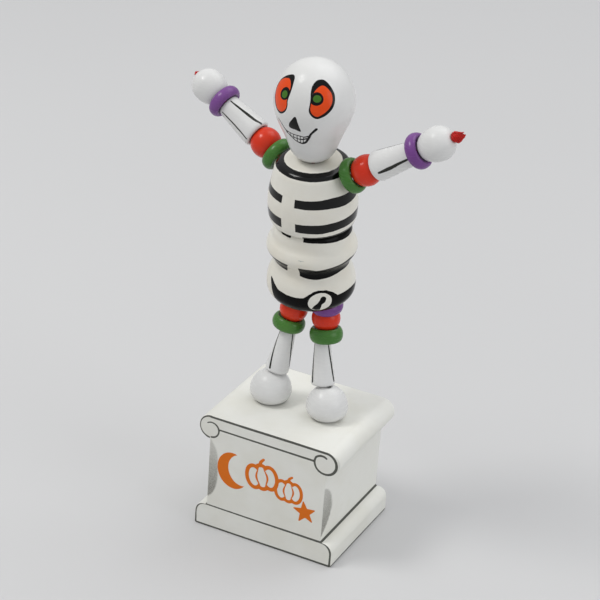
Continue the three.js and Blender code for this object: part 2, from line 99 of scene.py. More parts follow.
def find_places():
    """Puts each part's own frame in PLACES, and each shin's length in SIDES."""
    upright = turned(SIDEWAYS, HIPS_LEAN)
    hips = placed(HIPS_AT, upright)
    chest_turn = turned(SIDEWAYS, CHEST_LEAN) @ turned(UP, CHEST_TURN)
    chest = placed(hips @ (UP * (HIPS_HEIGHT + GAP)), chest_turn)
    head = chest @ placed(HEAD_AT, turned(SIDEWAYS, HEAD_LEAN))
    PLACES.update(hips=hips, chest=chest, head=head)
    axis = upright @ UP
    for name, limb in SIDES.items():
        side = limb["side"]
        foot = Vector((side * FOOT_X, FOOT_Y, BASE_HEIGHT + GAP))
        ankle = foot + UP * FOOT_WAIST
        hip_ring = Vector((side * HIP_X, HIPS_AT.y, HIPS_AT.z)) - axis * (GAP + RING_HALF)
        ball = hip_ring - axis * LEG_STEP
        along = ball - ankle
        reach = along.length
        along.normalize()
        lean = UP.rotation_difference(along)
        knee, shin = SIDEWAYS * limb["knee_shift"], SIDEWAYS * limb["shin_shift"]
        shin_from, shin_to = FOOT_DOME + GAP, reach - LEG_STEP - RING_SEAT - GAP
        PLACES[f"{name}_foot"] = placed(foot)
        PLACES[f"{name}_shin"] = placed(ankle + along * shin_from + shin, lean)
        PLACES[f"{name}_knee_ring"] = placed(ankle + along * (reach - LEG_STEP) + knee, lean)
        PLACES[f"{name}_knee_ball"] = placed(ball + knee / 2, lean)
        PLACES[f"{name}_hip_ring"] = placed(hip_ring, upright)
        limb["shin_length"] = shin_to - shin_from
        raised, swept = radians(limb["raised"]), radians(limb["swept"])
        outward = Vector((side * cos(raised) * cos(swept), cos(raised) * sin(swept), sin(raised)))
        base = chest @ placed(limb["shoulder"], UP.rotation_difference(outward))
        arm = ARM_STEP + sqrt((ARM_BALL + GAP) ** 2 - ARM_MOUTH ** 2)
        wrist = arm + ARM_LENGTH + WRIST_STEP + GAP
        hand = wrist + HAND_STEP
        steps = dict(shoulder_ring=0, shoulder_ball=ARM_STEP, arm=arm, wrist_ring=wrist, hand=hand,
                     string_tuft=hand + HAND_RADIUS)
        for part, step in steps.items():
            PLACES[f"{name}_{part}"] = base @ Matrix.Translation((0, 0, step))


find_places()


# --- camera, light and floor
def make_camera():
    """The photograph's camera, fitted to the pedestal's corners."""
    azimuth, elevation, roll = 25.23, 26.98, 4.20
    target, distance = Vector((-1.5, -0.71, 61.18)), 529.2
    turn = turned(UP, azimuth) @ turned(SIDEWAYS, 90 - elevation) @ turned(UP, roll)
    data = bpy.data.cameras.new("camera")
    data.lens, data.sensor_width = 132.0, 36.0
    data.clip_start, data.clip_end = 0.01, 20.0
    camera = bpy.data.objects.new("camera", data)
    camera.matrix_world = placed((target + turn @ UP * distance) * MM, turn)
    scene.collection.objects.link(camera)
    scene.camera = camera


def area_light(name, at, target, size, power, color=(1, 1, 1)):
    data = bpy.data.lights.new(name, "AREA")
    data.shape, data.size, data.size_y = "RECTANGLE", size[0], size[1]
    data.energy, data.color = power, color
    light = bpy.data.objects.new(name, data)
    light.location = at
    light.rotation_euler = (Vector(target) - Vector(at)).to_track_quat("-Z", "Y").to_euler()
    scene.collection.objects.link(light)


def make_light():
    world = bpy.data.worlds.new("studio")
    scene.world = world
    world.use_nodes = True
    tree = world.node_tree
    background = tree.nodes["Background"]
    split = tree.nodes.new("ShaderNodeSeparateXYZ")
    tree.links.new(tree.nodes.new("ShaderNodeTexCoord").outputs["Generated"], split.inputs[0])
    sky = tree.nodes.new("ShaderNodeMapRange")
    for key, value in {"From Min": -0.2, "From Max": 0.9, "To Min": 0.40, "To Max": 0.73}.items():
        sky.inputs[key].default_value = value
    tree.links.new(split.outputs["Z"], sky.inputs["Value"])
    tree.links.new(sky.outputs[0], background.inputs["Strength"])
    background.inputs["Color"].default_value = (0.97, 0.98, 1.0, 1)
    middle = (0, 0, 0.07)
    area_light("window", (-0.42, -0.30, 0.78), middle, (0.30, 0.26), 2.8, (1.0, 0.99, 0.97))
    area_light("top", (0.22, 0.50, 0.95), (0, 0.15, 0.05), (0.7, 0.7), 2.5)
    area_light("side", (0.95, -0.10, 0.42), middle, (0.6, 0.6), 2.0, (0.97, 0.98, 1.0))
    scene.view_settings.view_transform = "Standard"
    scene.view_settings.look = "None"
    scene.view_settings.exposure = 0.0


# --- node materials
class Shader:
    """A small helper around one material's node tree."""

    def __init__(self, name):
        self.material = bpy.data.materials.new(name)
        self.material.use_nodes = True
        self.tree = self.material.node_tree
        self.bsdf = self.tree.nodes["Principled BSDF"]

    def node(self, kind, inputs=None, **settings):
        node = self.tree.nodes.new(kind)
        for key, value in settings.items():
            setattr(node, key, value)
        for key, value in (inputs or {}).items():
            self.feed(node.inputs[key], value)
        return node

    def feed(self, socket, value):
        if isinstance(value, bpy.types.NodeSocket):
            self.tree.links.new(value, socket)
        else:
            socket.default_value = value

    def place(self, stretch):
        """Object coordinates in millimetres, drawn out by a factor along each axis."""
        coordinates = self.node("ShaderNodeTexCoord").outputs["Object"]
        scale = tuple(1000 * s for s in stretch)
        mapping = self.node("ShaderNodeMapping", {"Vector": coordinates, "Scale": scale})
        return mapping.outputs["Vector"]

    def noise(self, scale, detail, rough, stretch=(1, 1, 1)):
        return self.node("ShaderNodeTexNoise", {
            "Vector": self.place(stretch), "Scale": scale, "Detail": detail, "Roughness": rough,
        }).outputs["Fac"]

    def bands(self, stretch, direction, inputs):
        inputs = {"Vector": self.place(stretch), **inputs}
        return self.node("ShaderNodeTexWave", inputs, wave_type="BANDS",
                         bands_direction=direction).outputs["Fac"]

    def math(self, operation, a, b=0.0, c=0.0):
        node = self.node("ShaderNodeMath", operation=operation)
        for socket, value in zip(node.inputs, (a, b, c)):
            self.feed(socket, value)
        return node.outputs[0]

    def ramp(self, value, low, high, to_low=0.0, to_high=1.0, smooth=True):
        node = self.node("ShaderNodeMapRange", {
            "Value": value, "From Min": low, "From Max": high, "To Min": to_low, "To Max": to_high,
        })
        node.interpolation_type = "SMOOTHSTEP" if smooth else "LINEAR"
        return node.outputs["Result"]

    def mix(self, factor, a, b):
        node = self.node("ShaderNodeMix", data_type="RGBA")
        self.feed(node.inputs[0], factor)
        for socket, value in ((node.inputs[6], a), (node.inputs[7], b)):
            self.feed(socket, (*value, 1) if isinstance(value, tuple) else value)
        return node.outputs[2]

    def attribute(self, name):
        return self.node("ShaderNodeAttribute", attribute_name=name).outputs["Fac"]

    def bump(self, height, distance_mm):
        inputs = {"Height": height, "Distance": distance_mm * MM, "Strength": 1.0}
        return self.node("ShaderNodeBump", inputs).outputs["Normal"]

    def finish(self, inputs):
        for name, value in inputs.items():
            self.feed(self.bsdf.inputs[name], value)
        return self.material


def enamel(name, base, layers=(), rough=0.2, coat=0.05, coat_rough=0.05, tint=None, wobble=0.05,
           shade_attribute=None, specular=0.16):
    """Hand-brushed paint. layers are (distance attribute, colour, roughness) painted over the
    base one after another: the paint lies where the attribute, in millimetres, is negative.
    wobble is how far, in millimetres, the brush strays, and the last argument names a 0 to 1 attribute
    of painted shade."""
    edge, brush_height, layer_height, relief = 0.035, 0.35, 0.8, 0.03
    s = Shader(name)
    broad = s.noise(0.09, 3.0, 0.55)
    strokes = s.noise(0.9, 4.0, 0.6, stretch=(0.35, 0.35, 2.2))
    fine = s.noise(5.0, 3.0, 0.6)
    tint = tint or tuple(c * 0.93 for c in base)
    color = s.mix(s.ramp(broad, 0.35, 0.7), base, tint)
    color = s.mix(s.ramp(strokes, 0.55, 0.8, 0, 0.35), color, tuple(c * 0.9 for c in base))
    roughness = s.ramp(strokes, 0.3, 0.75, rough * 0.8, rough * 1.35, smooth=False)
    height = s.math("MULTIPLY_ADD", strokes, brush_height, s.math("MULTIPLY", fine, 0.12))
    wobbly = s.math("MULTIPLY", s.math("SUBTRACT", s.noise(1.1, 4.0, 0.6), 0.5), 2 * wobble)
    # Painted shade: a dark grey laid over the colour as the attribute rises, flecked by fine noise.
    if shade_attribute is not None:
        speckle = s.ramp(fine, 0.2, 0.7, 0.5, 1)
        shade_cover = s.math("MULTIPLY", s.ramp(s.attribute(shade_attribute), 0.0, 1.0), speckle)
        color = s.mix(shade_cover, color, (0.16, 0.155, 0.135))
    for attribute, paint, paint_rough in layers:
        distance = s.math("ADD", s.attribute(attribute), wobbly)
        cover = s.ramp(distance, -edge, edge, 1.0, 0.0)
        lighter = tuple(c * 1.25 + 0.004 for c in paint)
        color = s.mix(cover, color, s.mix(s.ramp(strokes, 0.5, 0.85, 0, 0.5), paint, lighter))
        varied = s.ramp(strokes, 0.3, 0.75, paint_rough * 0.8, paint_rough * 1.3, smooth=False)
        node = s.node("ShaderNodeMix", data_type="FLOAT")
        for index, value in ((0, cover), (2, roughness), (3, varied)):
            s.feed(node.inputs[index], value)
        roughness = node.outputs[0]
        height = s.math("ADD", height, s.math("MULTIPLY", cover, layer_height))
    return s.finish({
        "Base Color": color, "Roughness": roughness, "Normal": s.bump(height, relief),
        "Coat Weight": coat, "Coat Roughness": coat_rough, "Specular IOR Level": specular})


def bare_wood(name, light, dark):
    s = Shader(name)
    grain = s.bands((1.0, 0.25, 0.12), "X",
                    {"Scale": 0.42, "Distortion": 5.0, "Detail": 3.0, "Detail Scale": 1.4})
    pores = s.noise(3.0, 4.0, 0.7, stretch=(1, 0.2, 1))
    color = s.mix(grain, light, dark)
    return s.finish({
        "Base Color": s.mix(s.ramp(pores, 0.6, 0.75, 0, 0.6), color, tuple(c * 0.55 for c in dark)),
        "Roughness": s.ramp(pores, 0.3, 0.7, 0.5, 0.72, smooth=False),
        "Normal": s.bump(s.math("ADD", grain, pores), 0.04)})


def spring_steel():
    s = Shader("spring_wire")
    drawn = s.noise(2.5, 3.0, 0.6)
    return s.finish({
        "Metallic": 1.0, "Base Color": s.mix(drawn, (0.52, 0.53, 0.55), (0.66, 0.66, 0.67)),
        "Roughness": s.ramp(drawn, 0.3, 0.7, 0.22, 0.38, smooth=False)})


def red_cotton():
    s = Shader("red_cotton")
    twist = s.bands((1, 1, 1), "DIAGONAL", {"Scale": 0.9, "Distortion": 1.2, "Detail": 2.0})
    fuzz = s.noise(6.0, 4.0, 0.7)
    color = s.mix(twist, (0.42, 0.008, 0.008), (0.70, 0.022, 0.016))
    return s.finish({
        "Base Color": s.mix(s.ramp(fuzz, 0.55, 0.8, 0, 0.5), color, (0.78, 0.06, 0.04)),
        "Normal": s.bump(s.math("ADD", twist, fuzz), 0.12), "Roughness": 0.9,
        "Specular IOR Level": 0.2, "Sheen Weight": 0.12, "Sheen Roughness": 0.5})


def floor_paper():
    s = Shader("studio_floor")
    mottle = s.noise(0.004, 2.0, 0.5)
    return s.finish({"Base Color": s.mix(mottle, (0.57, 0.57, 0.572), (0.60, 0.60, 0.60)),
                     "Roughness": 0.85, "Specular IOR Level": 0.2})


# --- outlines and distances
def arc(r, z, radius_r, radius_z, start, end, step=0.2):
    """Points of an arc in the (radius, height) plane, from one angle to another in degrees."""
    length = abs(radians(end - start)) * max(radius_r, radius_z)
    angles = np.radians(np.linspace(start, end, max(3, int(length / step) + 1)))
    return np.column_stack([r + radius_r * np.cos(angles), z + radius_z * np.sin(angles)])


def curve_through(points, step=0.2):
    """A smooth curve through points (Catmull-Rom), resampled at an even step."""
    p = np.asarray(points, float)
    p = np.vstack([2 * p[0] - p[1], p, 2 * p[-1] - p[-2]])
    out = []
    for a, b, c, d in zip(p[:-3], p[1:-2], p[2:-1], p[3:]):
        t = np.linspace(0, 1, 24, endpoint=False)[:, None]
        out.append(0.5 * (2 * b + (c - a) * t + (2 * a - 5 * b + 4 * c - d) * t ** 2
                          + (3 * b - a - 3 * c + d) * t ** 3))
    return resample(np.vstack([*out, p[-2:-1]]), step)


def resample(points, step):
    """Points at an even step along a path."""
    points = np.asarray(points, float)
    lengths = np.linalg.norm(np.diff(points, axis=0), axis=1)
    points = points[np.concatenate([[True], lengths > 1e-9])]
    along = np.concatenate([[0], np.cumsum(np.linalg.norm(np.diff(points, axis=0), axis=1))])
    at = np.linspace(0, along[-1], max(2, int(round(along[-1] / step)) + 1))
    return np.column_stack([np.interp(at, along, points[:, k]) for k in range(points.shape[1])])


def outline(*runs, step=0.2):
    """Joins runs of points, each resampled evenly, and keeps the corners between them."""
    pieces = [resample(run, step) for run in runs]
    return np.vstack([pieces[0], *[run[1:] if np.allclose(run[0], last[-1]) else run
                                   for last, run in zip(pieces, pieces[1:])]])


def brush_line(p, path, widths=(0, 0)):
    """Distance from each of the points p to a brushed line. Its half width changes along its
    path, and without widths it is the bare path."""
    path = np.asarray(path, float)
    widths = np.interp(np.linspace(0, 1, len(path)), np.linspace(0, 1, len(widths)), widths)
    best = np.full(len(p), 1e9)
    for a, b, wide, next_wide in zip(path[:-1], path[1:], widths[:-1], widths[1:]):
        d = b - a
        t = np.clip(((p - a) @ d) / max(d @ d, 1e-12), 0, 1)
        width = wide + (next_wide - wide) * t
        best = np.minimum(best, np.linalg.norm(p - a - t[:, None] * d, axis=1) - width)
    return best


def filled(p, polygon):
    """Signed distance to a closed shape, negative inside."""
    closed = np.vstack([polygon, polygon[:1]])
    inside = np.zeros(len(p), bool)
    for a, b in zip(closed[:-1], closed[1:]):
        if a[1] != b[1]:
            crosses = (a[1] > p[:, 1]) != (b[1] > p[:, 1])
            x = a[0] + (p[:, 1] - a[1]) * (b[0] - a[0]) / (b[1] - a[1])
            inside ^= crosses & (p[:, 0] < x)
    distance = brush_line(p, closed)
    return np.where(inside, -distance, distance)


def blob(points):
    """A smooth closed outline through points."""
    curve = curve_through(np.vstack([points, points[:3]]), 0.15)
    gap = np.linalg.norm(curve - np.asarray(points[1], float), axis=1)
    half = len(curve) // 2
    return curve[int(np.argmin(gap[:half])):half + int(np.argmin(gap[half:]))]


def ellipse(center, radii, tilt=0.0):
    angles = np.linspace(0, 2 * np.pi, 60, endpoint=False)
    c, s = cos(radians(tilt)), sin(radians(tilt))
    x, y = radii[0] * np.cos(angles), radii[1] * np.sin(angles)
    return np.column_stack([center[0] + c * x - s * y, center[1] + s * x + c * y])


def either(*distances):
    return np.minimum.reduce(distances)


# --- meshes
def new_piece(name, vertices_mm, faces, material, place=None):
    """An object whose mesh is given in millimetres, and moved by a matrix if there is one."""
    co = np.asarray(vertices_mm, float)
    if place is not None:
        m = np.array(place)
        co = co @ m[:3, :3].T + m[:3, 3]
    mesh = bpy.data.meshes.new(name)
    mesh.from_pydata((co * MM).tolist(), [], faces)
    mesh.validate()
    mesh.update()
    mesh.shade_smooth()
    mesh.materials.append(material)
    piece = bpy.data.objects.new(name, mesh)
    scene.collection.objects.link(piece)
    return piece


def declare(piece, body=None, node=None):
    """Puts a piece on a body's empty and hides the CAD part it stands for. A piece may be given no body.
    """
    if body:
        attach(piece, body)
    if node:
        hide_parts(node)


def ring_faces(rings, sides, capped):
    """Faces between rings of vertices. Capped, they close on the two vertices after the rings,
    and else the last ring joins the first."""
    faces = []
    for i in range(rings - 1 if capped else rings):
        a, b = i * sides, ((i + 1) % rings) * sides
        for k in range(sides):
            k2 = (k + 1) % sides
            faces.append((a + k, a + k2, b + k2, b + k))
    if capped:
        bottom, last = rings * sides, (rings - 1) * sides
        for k in range(sides):
            k2 = (k + 1) % sides
            faces += [(bottom, k2, k), (bottom + 1, last + k, last + k2)]
    return faces


def lathe_mesh(profile, sides):
    """Vertices and faces of a solid of revolution about Z. The profile goes up the outside; it
    starts and ends on the axis, or it is closed on itself round a bore."""
    profile = np.asarray(profile, float)
    on_axis = profile[0][0] < 1e-6 and profile[-1][0] < 1e-6
    rows = profile[1:-1] if on_axis else profile
    angles = np.linspace(0, 2 * np.pi, sides, endpoint=False)
    ring = np.column_stack([np.sin(angles), -np.cos(angles)])
    vertices = [np.column_stack([ring * r, np.full(sides, z)]) for r, z in rows]
    if on_axis:
        vertices += [[[0, 0, profile[0][1]]], [[0, 0, profile[-1][1]]]]
    return np.vstack(vertices), ring_faces(len(rows), sides, on_axis)


def store(piece, name, values):
    attribute = piece.data.attributes.new(name, "FLOAT", "POINT")
    attribute.data.foreach_set("value", np.asarray(values, np.float32))


def round_angle(vertices):
    """The angle round a turned piece from its front, growing towards its left side, +X."""
    return np.arctan2(vertices[:, 0], -vertices[:, 1])


def on_surface(vertices, radius):
    """Each vertex of a turned piece as (distance round from the front, height), in mm, for a
    given mean radius."""
    return np.column_stack([round_angle(vertices) * radius, vertices[:, 2]])


def unrolled(points, radius):
    """Points given as (degrees round from the front, height), laid out as on_surface does."""
    return np.array([(radians(a) * radius, z) for a, z in points])


def turned_piece(name, profile, sides, material, painter=None):
    vertices, faces = lathe_mesh(profile, sides)
    piece = new_piece(name + "_painted", vertices, faces, material, PLACES[name])
    declare(piece, name, name)
    if painter is not None:
        for attribute, values in painter(vertices).items():
            store(piece, attribute, values)


def bored(runs, bore):
    """Joins runs of an outside outline, and closes it round a bore."""
    outside = np.vstack(runs)
    top, bottom = (bore, outside[-1][1]), (bore, outside[0][1])
    inside = [[top, bottom]]
    if outside[-1][0] > bore + 1e-6:
        inside.insert(0, [outside[-1], top])
    if outside[0][0] > bore + 1e-6:
        inside.append([bottom, outside[0]])
    loop = np.vstack([outside, *[resample(run, 0.25)[1:] for run in inside]])
    return loop[:-1] if np.allclose(loop[0], loop[-1]) else loop


def drill_out(piece, bits):
    """Cuts round holes, given as (start, end, radius) in mm, out of a piece."""
    for start, end, radius in bits:
        axis = Vector(end) - Vector(start)
        rod = [(0, 0), (radius, 0), (radius, axis.length), (0, axis.length)]
        vertices, faces = lathe_mesh(rod, 128)
        place = placed(start, UP.rotation_difference(axis))
        bit = new_piece("drill_bit", vertices, faces, piece.data.materials[0], place)
        cut = piece.modifiers.new("cut", "BOOLEAN")
        cut.operation, cut.solver, cut.object = "DIFFERENCE", "EXACT", bit
        depsgraph = bpy.context.evaluated_depsgraph_get()
        mesh = bpy.data.meshes.new_from_object(piece.evaluated_get(depsgraph))
        piece.modifiers.clear()
        piece.data = mesh
        bpy.data.objects.remove(bit)
    piece.data.shade_smooth()


# --- paints
GLOSS_WHITE = (0.71, 0.71, 0.70)
CREAM = (0.745, 0.73, 0.665)
PEDESTAL = (0.775, 0.775, 0.73)
BLACK = (0.0035, 0.0035, 0.0035)
LINE_GREY = (0.095, 0.098, 0.085)
LINE_DARK = (0.02, 0.021, 0.017)
RED = (0.63, 0.031, 0.010)
GREEN = (0.05, 0.165, 0.028)
PURPLE = (0.155, 0.048, 0.225)
EYE_ORANGE = (0.74, 0.07, 0.010)
MOTIF_ORANGE = (0.68, 0.155, 0.008)
PUPIL_GREEN = (0.055, 0.16, 0.02)

PAINTS = {
    "head": enamel("head_enamel", GLOSS_WHITE, [
        ("black", BLACK, 0.2), ("orange", EYE_ORANGE, 0.2), ("pupil", BLACK, 0.2),
        ("green", PUPIL_GREEN, 0.25)], tint=(0.68, 0.68, 0.665), wobble=0.04),
    "chest": enamel("chest_enamel", CREAM, [("black", BLACK, 0.12)], rough=0.17,
                    tint=(0.725, 0.695, 0.61), wobble=0.09, coat=0.1, specular=0.2),
    "hips": enamel("hips_enamel", CREAM, [
        ("black", BLACK, 0.14), ("white", CREAM, 0.2), ("mark", BLACK, 0.15),
        ("dash", (0.45, 0.45, 0.42), 0.3)], tint=(0.725, 0.695, 0.61), wobble=0.09, coat=0.0,
        specular=0.08),
    "limb": enamel("limb_enamel", GLOSS_WHITE, [("line", LINE_DARK, 0.25)], rough=0.25,
                   tint=(0.675, 0.675, 0.665), specular=0.22),
    # The pedestal's grey patches by its edges are painted shade, given as a 0 to 1 attribute.
    "pedestal": enamel("pedestal_paint", PEDESTAL, [
        ("line", LINE_GREY, 0.45), ("motif", MOTIF_ORANGE, 0.4)], rough=0.45, coat_rough=0.3,
        tint=(0.735, 0.73, 0.67), shade_attribute="smudge"),
    "red": enamel("red_enamel", RED, tint=(0.69, 0.045, 0.013), rough=0.22, specular=0.25),
    "green": enamel("green_enamel", GREEN, tint=(0.072, 0.205, 0.036), rough=0.24, specular=0.25),
    "purple": enamel("purple_enamel", PURPLE, tint=(0.19, 0.07, 0.265), rough=0.24, specular=0.25),
    "button": bare_wood("button_wood", (0.55, 0.36, 0.19), (0.40, 0.23, 0.11)),
    "peg": bare_wood("peg_dowel", (0.46, 0.28, 0.14), (0.33, 0.18, 0.08)),
    "steel": spring_steel(),
    "string": red_cotton(),
}


# --- the turned pieces
def edge_angle(reach, radius):
    """Degrees up from a circle's equator to where it is only reach from its axis."""
    return degrees(acos(reach / radius))


def foot_profile():
    flat, mouth = edge_angle(FOOT_FLAT, FOOT_RADIUS), edge_angle(FOOT_BORE, FOOT_RADIUS)
    depth = FOOT_WAIST / sin(radians(flat))
    return bored([arc(0, FOOT_WAIST, FOOT_RADIUS, depth, -flat, 0),
                  arc(0, FOOT_WAIST, FOOT_RADIUS, FOOT_DOME, 0, mouth)[1:]], FOOT_BORE)


def shin_profile(length):
    foot_end = curve_through([(1.0, 0), (1.9, -0.04), (2.45, -0.28), (2.75, -0.28), (2.93, 0.0),
                              (2.95, 0.45), (2.88, 1.2)], 0.1)
    knee_end = curve_through([(1.84, length - 0.5), (1.78, length - 0.2), (1.55, length)], 0.1)
    return bored(outline(foot_end, [(2.88, 1.2), (1.84, length - 0.5)], knee_end), LIMB_BORE)


def ring_profile(radius, ball, step, low=0.0):
    """A ring dished for a ball on both faces; low thickens it downwards."""
    dish = ball + GAP
    crest = sqrt(dish ** 2 - (step - RING_HALF) ** 2)
    mouth, rim = edge_angle(RING_BORE, dish), edge_angle(crest - 0.1, dish)
    outer = arc(crest, -low / 2, radius - crest, RING_HALF + low / 2, -80, 80, 0.12)
    return bored([arc(0, -step - low, dish, dish, mouth, rim), outer,
                  arc(0, step, dish, dish, -rim, -mouth)], RING_BORE)


def ball_profile(radius, flat=1.5, bore=BALL_BORE):
    """A ball with its poles cut flat, drilled through."""
    mouth = edge_angle(flat, radius)
    return bored(arc(0, 0, radius, radius, -mouth, mouth), bore)


def arm_profile():
    dish = ARM_BALL + GAP
    rim = sqrt(dish ** 2 - ARM_MOUTH ** 2)
    wrist = [(2.8, ARM_LENGTH - 0.5), (2.72, ARM_LENGTH - 0.2), (2.45, ARM_LENGTH)]
    return bored([
        arc(0, -rim, dish, dish, edge_angle(LIMB_BORE, dish), edge_angle(ARM_MOUTH, dish)),
        curve_through([(ARM_MOUTH, 0), (3.38, 0.22), (3.58, 0.8), (3.56, 1.5)])[1:],
        resample([(3.56, 1.5), wrist[0]], 0.2)[1:], curve_through(wrist, 0.1)[1:]], LIMB_BORE)


def hand_profile():
    mouth = edge_angle(LIMB_BORE, HAND_RADIUS)
    return bored([arc(0, 0, HAND_RADIUS, 5.4, -mouth, 0),
                  arc(0, 0, HAND_RADIUS, HAND_RADIUS, 0, mouth)[1:]], LIMB_BORE)


def hips_profile():
    side = curve_through([
        (6.9, 0), (8.11, 0.12), (9.47, 1.0), (10.4, 2.35), (10.7, 3.75), (10.68, 5.2), (10.4, 6.9),
        (9.8, 8.35), (9.22, 9.4), (9.1, 10.4), (9.4, 11.5), (10.3, 12.75), (10.82, 13.8),
        (10.82, 14.8), (10.4, 15.9), (9.85, 16.6), (9.58, 17.4), (9.5, 18.6), (9.3, 19.8),
        (8.8, HIPS_HEIGHT)])
    bore, floor = TRUNK_BORE, 3.5
    return outline([(0, 0), (6.9, 0)], side, [(8.8, HIPS_HEIGHT), (bore, HIPS_HEIGHT)],
                   [(bore, HIPS_HEIGHT), (bore, floor)], [(bore, floor), (0, floor)])


def chest_profile():
    side = curve_through([
        (8.7, 0), (9.6, 0.35), (10.2, 1.1), (10.55, 2.6), (10.7, 5), (10.55, 7.6), (10.15, 9.8),
        (9.66, 11.9), (9.35, 13.3), (8.95, 14.9), (8.2, 15.85), (7.4, 16.2)])
    collar = (6.8, 16.35)
    return bored(outline(side, [(7.4, 16.2), collar], [collar, (6.7, CHEST_HEIGHT)]), TRUNK_BORE)


def head_profile():
    side = curve_through([
        (1.9, 0), (3.1, 0.3), (4.3, 1.1), (5.2, 2.25), (5.78, 3.65), (6.32, 5.2), (7.1, 7.2),
        (8.1, 9.4), (9.05, 12), (9.42, 13.7), (9.5, 15.2)])
    middle, width, height, bore_top = 14.7, 9.5, 10.3, 19
    dome = arc(0, middle, width, height, degrees(asin((15.2 - middle) / height)), 90)
    dome[-1, 0] = 0
    bore = outline([(0, bore_top), (HEAD_BORE, bore_top)], [(HEAD_BORE, bore_top), (HEAD_BORE, 0)],
                   [(HEAD_BORE, 0), (1.9, 0)])
    return np.vstack([bore, side[1:], dome[1:]])


# --- what is painted on them
def wavy(angle, seed, size):
    """A slow hand wobble round a turned piece, in mm."""
    return size * (np.sin(2 * angle + seed) + 0.6 * np.sin(5 * angle + 2.3 * seed)
                   + 0.35 * np.sin(11 * angle + 4.1 * seed)) / 1.95


def band(angle, height, low, high, start, end, radius):
    """Distance to a band between two heights, running from one angle to another, in degrees,
    round a piece. low and high are numbers, or lists of (degrees, height)."""
    at = np.degrees(angle)
    at = np.where(at < start, at + 360, at)
    edges = []
    for edge in (low, high):
        if isinstance(edge, (int, float)):
            edge = [(start, edge), (end, edge)]
        edges.append(np.interp(at, *zip(*edge)))
    middle = (start + end) / 2
    ends = (np.abs(at - middle) - (end - start) / 2) * radians(1) * radius
    return np.maximum.reduce([edges[0] - height, height - edges[1], ends])


def paint_chest(vertices):
    angle, s = round_angle(vertices), vertices[:, 2]
    r = np.hypot(vertices[:, 0], vertices[:, 1])
    shoulders = np.maximum(15.2 + wavy(angle, 1.3, 0.06) - s, 6.78 - r)
    rib_1 = band(angle, s + wavy(angle, 0.4, 0.07),
                 [(9, 8.7), (60, 8.6), (80, 8.3), (180, 8.5), (350, 8.7)],
                 [(9, 10.7), (45, 10.85), (63, 11.1), (85, 10.8), (180, 10.6), (350, 10.6)],
                 9.2, 350.3, 10.2)
    rib_2 = band(angle, s + wavy(angle, 2.9, 0.07),
                 [(12, 2.35), (45, 2.15), (75, 2.5), (180, 2.3), (351, 2.3)],
                 [(12, 4.6), (50, 4.7), (100, 5.0), (200, 4.7), (351, 4.85)], 12.0, 351.6, 10.6)
    rib_3 = band(angle, s, -2,
                 [(20.5, 1.05), (60, 1.2), (105, 1.45), (180, 1.1), (260, 0.5), (300, 0.1)],
                 20.5, 300, 9.4)
    return dict(black=either(shoulders, rib_1, rib_2, rib_3))


def paint_hips(vertices):
    """Ribs 3 to 5, and the oval on rib 5 with its squiggle. Rib 3's lower part is on the chest."""
    angle, s = round_angle(vertices), vertices[:, 2]
    r, radius = np.hypot(vertices[:, 0], vertices[:, 1]), 10.4
    p = on_surface(vertices, radius)
    rib_3 = band(angle, s + wavy(angle, 5.1, 0.05),
                 [(12.5, 19.7), (33, 19.65), (55, 19.3), (80, 19.0), (106, 18.9), (250, 19.1),
                  (305, 20.1), (328, 20.4), (337, 20.0), (353, 19.9)], 22, 12.5, 353, 9.4)
    rib_3 = np.maximum(rib_3, 8.5 - r)
    slant = (s - 12.2) * 2.6
    rib_4 = band(np.where(angle < 0, angle - np.radians(slant), angle), s + wavy(angle, 3.3, 0.06),
                 [(8, 10.3), (21, 9.7), (34, 9.5), (53, 9.7), (77, 10.3), (102, 10.2), (180, 10.0),
                  (325, 11.0), (352, 10.8)],
                 [(8, 13.3), (24, 13.05), (33, 12.65), (49, 13.1), (67, 13.6), (81, 14.1),
                  (140, 13.6), (220, 13.4), (335, 13.7), (352, 13.5)], 8.0, 351.5, 9.3)
    top_5 = [(-80, 8.2), (-74, 7.6), (-42, 7.4), (-36, 7.1), (-21, 5.6), (-5, 5.2), (6.6, 5.1),
             (17, 5.3), (24.8, 6.4), (30, 7.0), (36, 7.25), (47, 7.15), (56, 6.4), (63, 5.25),
             (76.5, 5.3), (92, 5.3), (115, 4.6), (180, 4.9), (240, 5.6), (280, 8.2)]
    low_5 = [(-42, 7.4), (-36, 5.4), (-28, 1.8), (-20, 0.6), (180, 0.6), (240, 2.2), (280, 7.4)]
    rib_5 = band(angle, s + wavy(angle, 0.9, 0.05), low_5, top_5, -41.5, 279.0, radius)
    rib_5 = np.where(s < 0.05, 1.0, rib_5)
    oval = filled(p, ellipse(unrolled([(38.4, 4.1)], radius)[0], (2.85, 2.5), 12))
    squiggle = curve_through(unrolled([(42.4, 4.95), (41.4, 4.5), (38.6, 3.95), (36.6, 3.3),
                                       (34.6, 2.6), (33.2, 1.9)], radius))
    mark = np.maximum(brush_line(p, squiggle, [0.74, 0.7, 0.5, 0.72, 0.95, 1.05]), oval + 0.15)
    dashes = [([(8.4, 15.45), (12, 15.3), (17, 15.4)], [0.05, 0.11, 0.05]),
              ([(3.9, 14.6), (14, 14.4)], [0.02, 0.05, 0.02])]
    dash = either(*[brush_line(p, unrolled(path, radius), widths) for path, widths in dashes])
    return dict(black=either(rib_3, rib_4, rib_5), white=oval, mark=mark, dash=dash)


